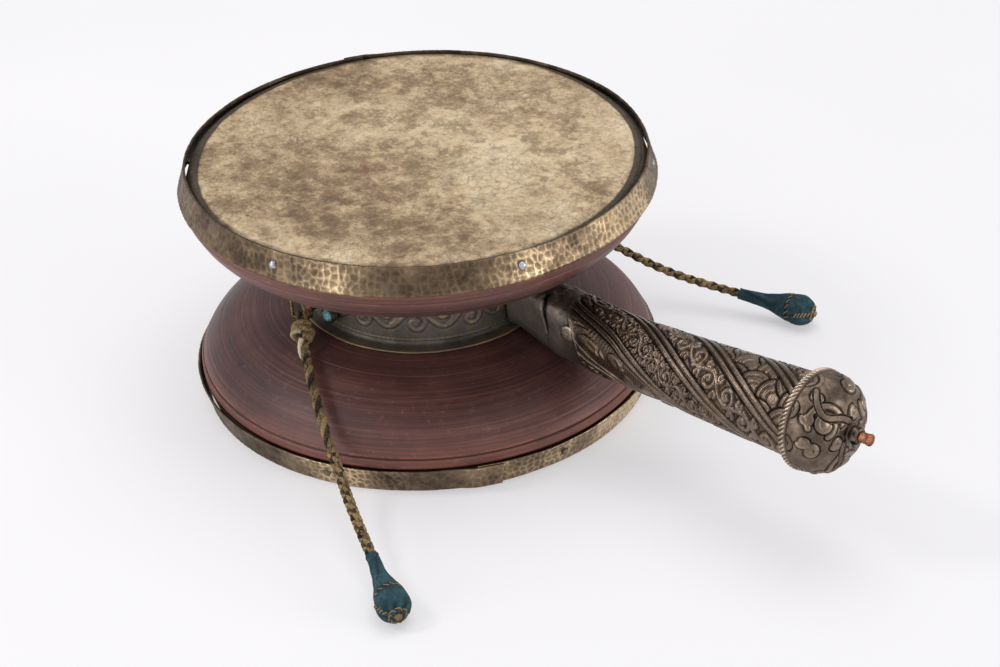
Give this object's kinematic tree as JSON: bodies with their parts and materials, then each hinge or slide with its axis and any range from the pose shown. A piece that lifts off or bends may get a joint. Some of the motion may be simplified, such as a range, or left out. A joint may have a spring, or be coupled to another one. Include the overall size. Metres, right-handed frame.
{
  "type": "hourglass hand drum",
  "caption": "Two-headed hourglass hand drum with hammered hoops, a metal handle at the waist, and cord-hung strikers that swing onto the heads.",
  "frame": {"origin": "centre of the plane that the lower hoop's edge stands on, on the drum's axis", "axes": "+Z along the drum's axis towards the upper head, +X along the handle away from the drum, +Y towards the rear cord's side"},
  "size_m": [0.3659, 0.3107, 0.1164],
  "materials": {
    "wood": "turned and stained, satin, worn at the rims",
    "hide": "scraped rawhide, mottled, matt",
    "hoop_brass": "hammered and tarnished",
    "nail_iron": "dull bright heads",
    "band_bronze": "dark patina, gilt on the raised work",
    "handle_bronze": "repousse sheet, dark brown patina, raised work polished by handling",
    "core_wood": "plain, unfinished",
    "copper": "bare copper, peened",
    "wire_brass": "drawn wire, dull",
    "coral": "polished",
    "turquoise": "polished, veined",
    "cord": "twisted tan and dark brown yarns",
    "teal_cloth": "plain weave, sewn with tan thread"
  },
  "bodies": {
    "drum": {"lower_bowl": "wood", "upper_bowl": "wood", "lower_skin": "hide", "upper_skin": "hide", "lower_hoop": "hoop_brass", "upper_hoop": "hoop_brass", "lower_hoop_nails": "nail_iron", "upper_hoop_nails": "nail_iron", "waist_band": "band_bronze", "front_post": "band_bronze", "rear_post": "band_bronze", "turquoise_bezels": "band_bronze", "handle_tube": "handle_bronze", "cap_ring": "handle_bronze", "end_cap": "handle_bronze", "finial_knob": "handle_bronze", "handle_rivet": "handle_bronze", "handle_core": "core_wood", "tie_rod": "copper", "front_loop": "wire_brass", "rear_loop": "wire_brass", "coral_stones": "coral", "turquoise_stones": "turquoise"},
    "front_striker": {"front_knot": "cord", "front_cord": "cord", "front_striker_core": "core_wood", "front_striker_cover": "teal_cloth"},
    "rear_striker": {"rear_knot": "cord", "rear_cord": "cord", "rear_striker_core": "core_wood", "rear_striker_cover": "teal_cloth"}
  },
  "joints": [
    {"name": "front_striker_swing", "type": "hinge", "parent": "drum", "child": "front_striker", "pos_m": [-0.0156, -0.0642, 0.0502], "axis": [-0.8192, -0.5736, 0], "range_deg": [0, 42]},
    {"name": "rear_striker_swing", "type": "hinge", "parent": "drum", "child": "rear_striker", "pos_m": [-0.0156, 0.0642, 0.0502], "axis": [0.8192, -0.5736, 0], "range_deg": [0, 42]}
  ]
}
